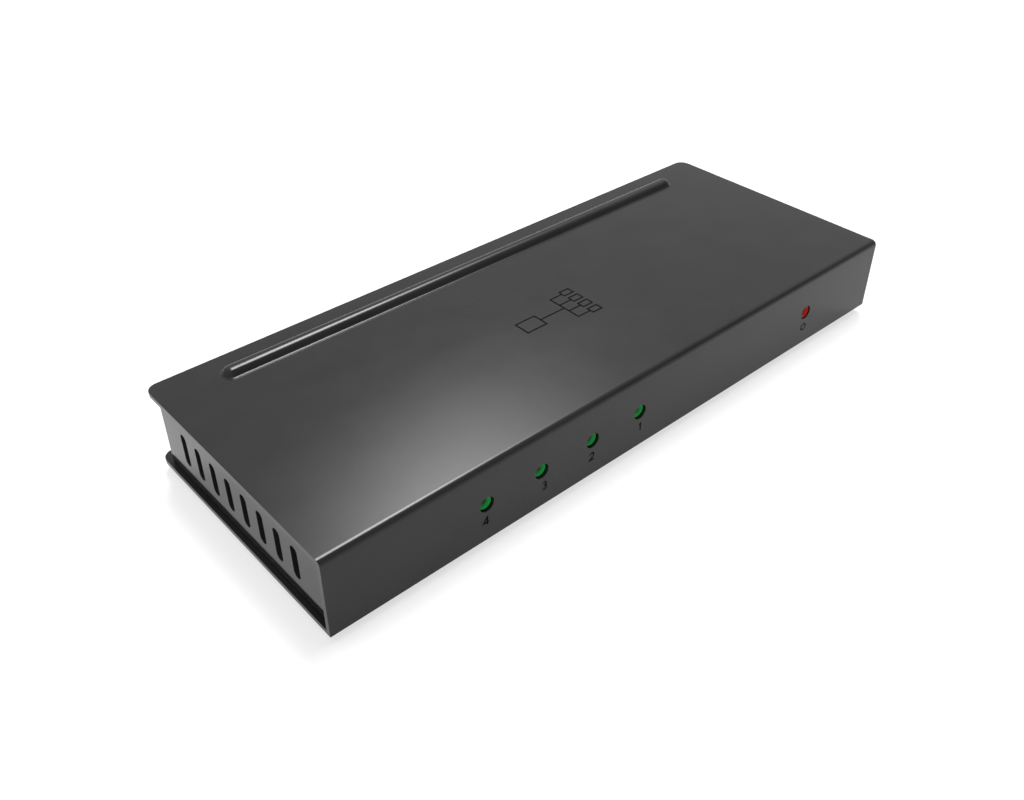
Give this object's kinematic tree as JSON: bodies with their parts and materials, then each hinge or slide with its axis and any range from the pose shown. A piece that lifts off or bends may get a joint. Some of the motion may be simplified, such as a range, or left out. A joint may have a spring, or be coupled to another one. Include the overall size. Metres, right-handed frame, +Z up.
{
  "type": "hdmi splitter",
  "caption": "Flat folded-metal video splitter box with vented ends, round indicator lamps in front, and HDMI sockets and a power inlet at the rear.",
  "frame": {"origin": "bottom centre of the bounding box: under the middle of the case, level with the undersides of the feet", "axes": "+X along the case, from the output sockets' end to the power inlet's end, +Y from the lamps in front to the sockets at the rear, +Z up"},
  "size_m": [0.16, 0.0624, 0.0214],
  "materials": {
    "case_paint": "semi-gloss dark grey paint on folded steel sheet",
    "foot_rubber": "matte black moulded rubber",
    "screw_steel": "black zinc plated steel",
    "post_metal": "nickel plated brass",
    "board_laminate": "satin dark solder mask on glass laminate",
    "shell_steel": "nickel plated spring steel",
    "socket_plastic": "black moulded resin",
    "contact_gold": "gold plated bronze",
    "jack_plastic": "black moulded resin",
    "jack_metal": "nickel plated brass",
    "green_lens": "tinted translucent resin",
    "red_lens": "tinted translucent resin",
    "tinned_lead": "tinned copper",
    "chip_resin": "black moulded resin",
    "thermal_rubber": "soft grey-blue silicone pad",
    "sink_aluminium": "black anodised aluminium",
    "ferrite": "dark grey ferrite",
    "can_aluminium": "satin drawn aluminium",
    "can_base_resin": "black moulded resin",
    "crystal_steel": "drawn nickel silver can",
    "capacitor_ceramic": "tan fired ceramic"
  },
  "bodies": {
    "root": {"top_cover": "case_paint", "base_plate": "case_paint", "chassis": "case_paint", "left_end_wall": "case_paint", "right_end_wall": "case_paint", "rubber_feet": "foot_rubber", "case_screws": "screw_steel", "board_spacers": "post_metal", "cover_standoffs": "post_metal", "main_board": "board_laminate", "hdmi_in_shell": "shell_steel", "hdmi_out_1_shell": "shell_steel", "hdmi_out_2_shell": "shell_steel", "hdmi_out_3_shell": "shell_steel", "hdmi_out_4_shell": "shell_steel", "hdmi_in_insulator": "socket_plastic", "hdmi_out_1_insulator": "socket_plastic", "hdmi_out_2_insulator": "socket_plastic", "hdmi_out_3_insulator": "socket_plastic", "hdmi_out_4_insulator": "socket_plastic", "hdmi_in_contacts": "contact_gold", "hdmi_out_1_contacts": "contact_gold", "hdmi_out_2_contacts": "contact_gold", "hdmi_out_3_contacts": "contact_gold", "hdmi_out_4_contacts": "contact_gold", "power_jack_body": "jack_plastic", "led_holders": "jack_plastic", "power_jack_pin": "jack_metal", "power_jack_terminals": "jack_metal", "green_led_1": "green_lens", "green_led_2": "green_lens", "green_led_3": "green_lens", "green_led_4": "green_lens", "red_led": "red_lens", "led_leads": "tinned_lead", "splitter_leads": "tinned_lead", "controller_leads": "tinned_lead", "memory_leads": "tinned_lead", "regulator_leads": "tinned_lead", "power_part_tabs": "tinned_lead", "chip_end_caps": "tinned_lead", "splitter_chip": "chip_resin", "controller_chip": "chip_resin", "memory_chip": "chip_resin", "voltage_regulators": "chip_resin", "polarity_diode": "chip_resin", "surge_arrays": "chip_resin", "chip_resistors": "chip_resin", "input_fuse": "chip_resin", "thermal_pad": "thermal_rubber", "heat_sink": "sink_aluminium", "power_inductor": "ferrite", "capacitor_cans": "can_aluminium", "capacitor_bases": "can_base_resin", "quartz_crystal": "crystal_steel", "chip_capacitors": "capacitor_ceramic"}
  },
  "joints": []
}
